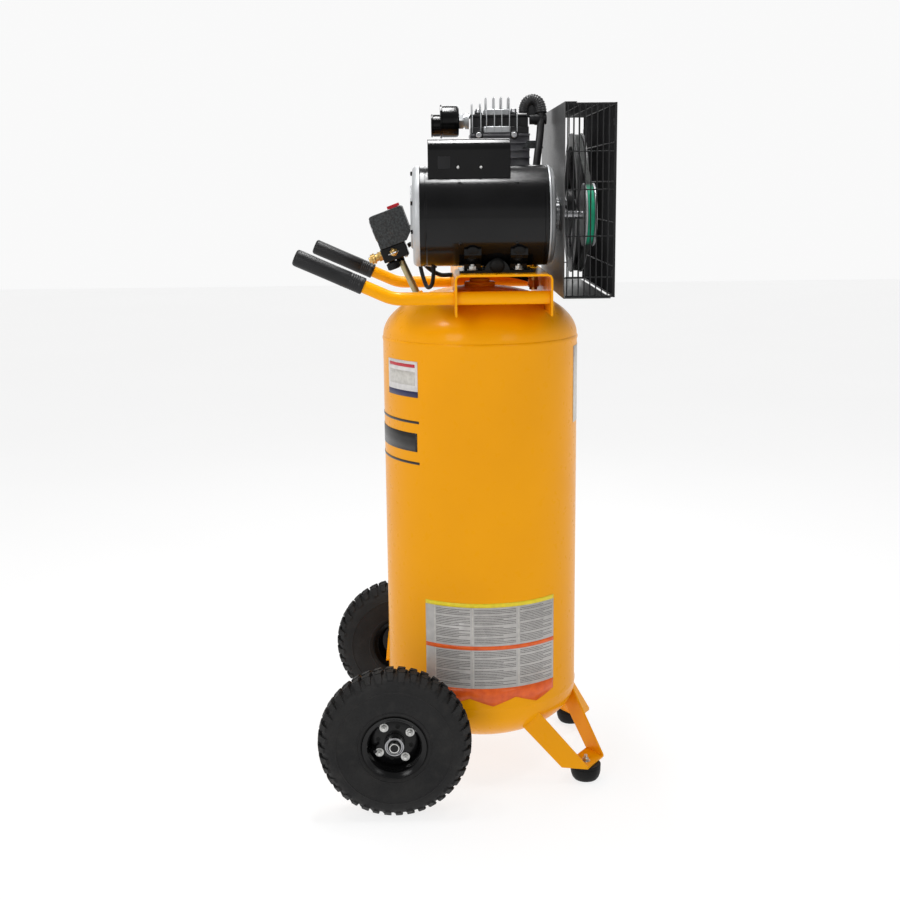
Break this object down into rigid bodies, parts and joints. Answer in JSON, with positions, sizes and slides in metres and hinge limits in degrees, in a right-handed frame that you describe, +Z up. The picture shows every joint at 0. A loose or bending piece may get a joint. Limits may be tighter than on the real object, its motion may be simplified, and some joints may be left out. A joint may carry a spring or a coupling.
{
  "type": "belt-driven air compressor",
  "caption": "Upright air tank on wheels and rubber feet, with a belt-driven piston pump, electric motor, wire belt guard, pressure switch, gauges and two lifting handles.",
  "frame": {"origin": "middle of the bounding box, on the floor", "axes": "+Z up; the front, with the handles and controls, faces -Y; the wheels turn about X; the pump, motor and pulleys turn about Y"},
  "size_m": [0.6684, 0.6209, 1.4244],
  "materials": {
    "tank": "gloss",
    "drain_valve": "satin",
    "drain_handle": "satin",
    "platform": "gloss",
    "handle_tube_left": "gloss",
    "handle_tube_right": "gloss",
    "handle_grip_left": "matte",
    "handle_grip_right": "matte",
    "wheel_bracket_left": "gloss",
    "wheel_bracket_right": "gloss",
    "wheel_axle_left": "zinc plated",
    "wheel_axle_right": "zinc plated",
    "wheel_rim_left": "gloss",
    "wheel_rim_right": "gloss",
    "wheel_tyre_left": "matte",
    "wheel_tyre_right": "matte",
    "foot_bracket_left": "gloss",
    "foot_bracket_right": "gloss",
    "foot_rubber_left": "matte",
    "foot_rubber_right": "matte",
    "motor_shell": "gloss",
    "motor_front_bell": "cast",
    "motor_rear_bell": "cast",
    "motor_stator": "laminated",
    "motor_rotor": "machined",
    "motor_pulley": "machined",
    "motor_base": "gloss",
    "capacitor_cover": "gloss",
    "crankcase": "painted black",
    "crankcase_cover": "painted black",
    "cylinder_block": "cast",
    "cylinder_head": "cast",
    "piston_front": "machined",
    "piston_rear": "machined",
    "crankshaft": "machined",
    "flywheel": "painted black",
    "drive_belt": "matte green cover",
    "air_filter": "satin",
    "discharge_tube": "satin",
    "check_valve": "satin",
    "unloader_hose": "matte",
    "guard_back_panel": "satin",
    "guard_grille_left": "satin",
    "guard_grille_right": "satin",
    "guard_grille_rear": "satin",
    "guard_grille_top": "satin",
    "switch_housing": "fine texture",
    "switch_lever": "gloss red",
    "gauge_tank": "pressed",
    "gauge_outlet": "pressed",
    "gauge_needle_tank": "satin",
    "gauge_needle_outlet": "satin",
    "manifold": "satin",
    "regulator_knob": "matte",
    "coupler_body": "satin",
    "coupler_sleeve": "satin",
    "safety_valve": "satin",
    "safety_ring": "wire",
    "pipe_nipple": "zinc-yellow",
    "motor_cord": "matte"
  },
  "bodies": {
    "frame": {"tank": "tank", "drain_valve": "drain_valve", "platform": "platform", "handle_tube_left": "handle_tube_left", "handle_tube_right": "handle_tube_right", "handle_grip_left": "handle_grip_left", "handle_grip_right": "handle_grip_right", "wheel_bracket_left": "wheel_bracket_left", "wheel_bracket_right": "wheel_bracket_right", "wheel_axle_left": "wheel_axle_left", "wheel_axle_right": "wheel_axle_right", "foot_bracket_left": "foot_bracket_left", "foot_bracket_right": "foot_bracket_right", "foot_rubber_left": "foot_rubber_left", "foot_rubber_right": "foot_rubber_right", "motor_shell": "motor_shell", "motor_front_bell": "motor_front_bell", "motor_rear_bell": "motor_rear_bell", "motor_stator": "motor_stator", "motor_base": "motor_base", "capacitor_cover": "capacitor_cover", "crankcase": "crankcase", "crankcase_cover": "crankcase_cover", "cylinder_block": "cylinder_block", "cylinder_head": "cylinder_head", "piston_front": "piston_front", "piston_rear": "piston_rear", "drive_belt": "drive_belt", "air_filter": "air_filter", "discharge_tube": "discharge_tube", "check_valve": "check_valve", "unloader_hose": "unloader_hose", "guard_back_panel": "guard_back_panel", "guard_grille_left": "guard_grille_left", "guard_grille_right": "guard_grille_right", "guard_grille_rear": "guard_grille_rear", "guard_grille_top": "guard_grille_top", "switch_housing": "switch_housing", "gauge_tank": "gauge_tank", "gauge_outlet": "gauge_outlet", "manifold": "manifold", "coupler_body": "coupler_body", "safety_valve": "safety_valve", "pipe_nipple": "pipe_nipple", "motor_cord": "motor_cord"},
    "drain_handle": {"drain_handle": "drain_handle"},
    "wheel_left": {"wheel_rim_left": "wheel_rim_left", "wheel_tyre_left": "wheel_tyre_left"},
    "wheel_right": {"wheel_rim_right": "wheel_rim_right", "wheel_tyre_right": "wheel_tyre_right"},
    "motor_rotor": {"motor_rotor": "motor_rotor", "motor_pulley": "motor_pulley"},
    "flywheel": {"crankshaft": "crankshaft", "flywheel": "flywheel"},
    "switch_lever": {"switch_lever": "switch_lever"},
    "needle_tank": {"gauge_needle_tank": "gauge_needle_tank"},
    "needle_outlet": {"gauge_needle_outlet": "gauge_needle_outlet"},
    "regulator_knob": {"regulator_knob": "regulator_knob"},
    "coupler_sleeve": {"coupler_sleeve": "coupler_sleeve"},
    "safety_ring": {"safety_ring": "safety_ring"}
  },
  "joints": [
    {"name": "wheel_right_spin", "type": "hinge", "parent": "frame", "child": "wheel_right", "pos_m": [0.2942, -0.1309, 0.154], "axis": [1, 0, 0], "continuous": true},
    {"name": "wheel_left_spin", "type": "hinge", "parent": "frame", "child": "wheel_left", "pos_m": [-0.2942, -0.1309, 0.154], "axis": [1, 0, 0], "continuous": true},
    {"name": "flywheel_spin", "type": "hinge", "parent": "frame", "child": "flywheel", "pos_m": [-0.09, 0.2646, 1.2], "axis": [0, 1, 0], "continuous": true},
    {"name": "motor_spin", "type": "hinge", "parent": "frame", "child": "motor_rotor", "pos_m": [0.13, 0.0551, 1.1806], "axis": [0, 1, 0], "continuous": true},
    {"name": "power_switch", "type": "slide", "parent": "frame", "child": "switch_lever", "axis": [0, -0.342, 0.9397], "range_m": [0, 0.006]},
    {"name": "regulator_turn", "type": "hinge", "parent": "frame", "child": "regulator_knob", "pos_m": [0.016, -0.1202, 1.07204], "axis": [0, -0.342, 0.9397], "range_deg": [0, 720]},
    {"name": "coupler_pull", "type": "slide", "parent": "frame", "child": "coupler_sleeve", "axis": [0, 0.9397, 0.342], "range_m": [0, 0.006], "stiffness_N_per_m": 300},
    {"name": "safety_pull", "type": "slide", "parent": "frame", "child": "safety_ring", "axis": [1, 0, 0], "range_m": [0, 0.003], "stiffness_N_per_m": 500},
    {"name": "drain_turn", "type": "hinge", "parent": "frame", "child": "drain_handle", "pos_m": [0, 0.0101, 0.037], "axis": [0, 0, 1], "range_deg": [0, 90]},
    {"name": "needle_tank_turn", "type": "hinge", "parent": "frame", "child": "needle_tank", "pos_m": [-0.027, -0.16074, 1.1504], "axis": [0, 0.9397, 0.342], "range_deg": [0, 270]},
    {"name": "needle_outlet_turn", "type": "hinge", "parent": "frame", "child": "needle_outlet", "pos_m": [0.027, -0.16074, 1.1504], "axis": [0, 0.9397, 0.342], "range_deg": [0, 270]}
  ],
  "couplings": [
    {"joint": "motor_spin", "follows": "flywheel_spin", "ratio": 2.5484}
  ]
}
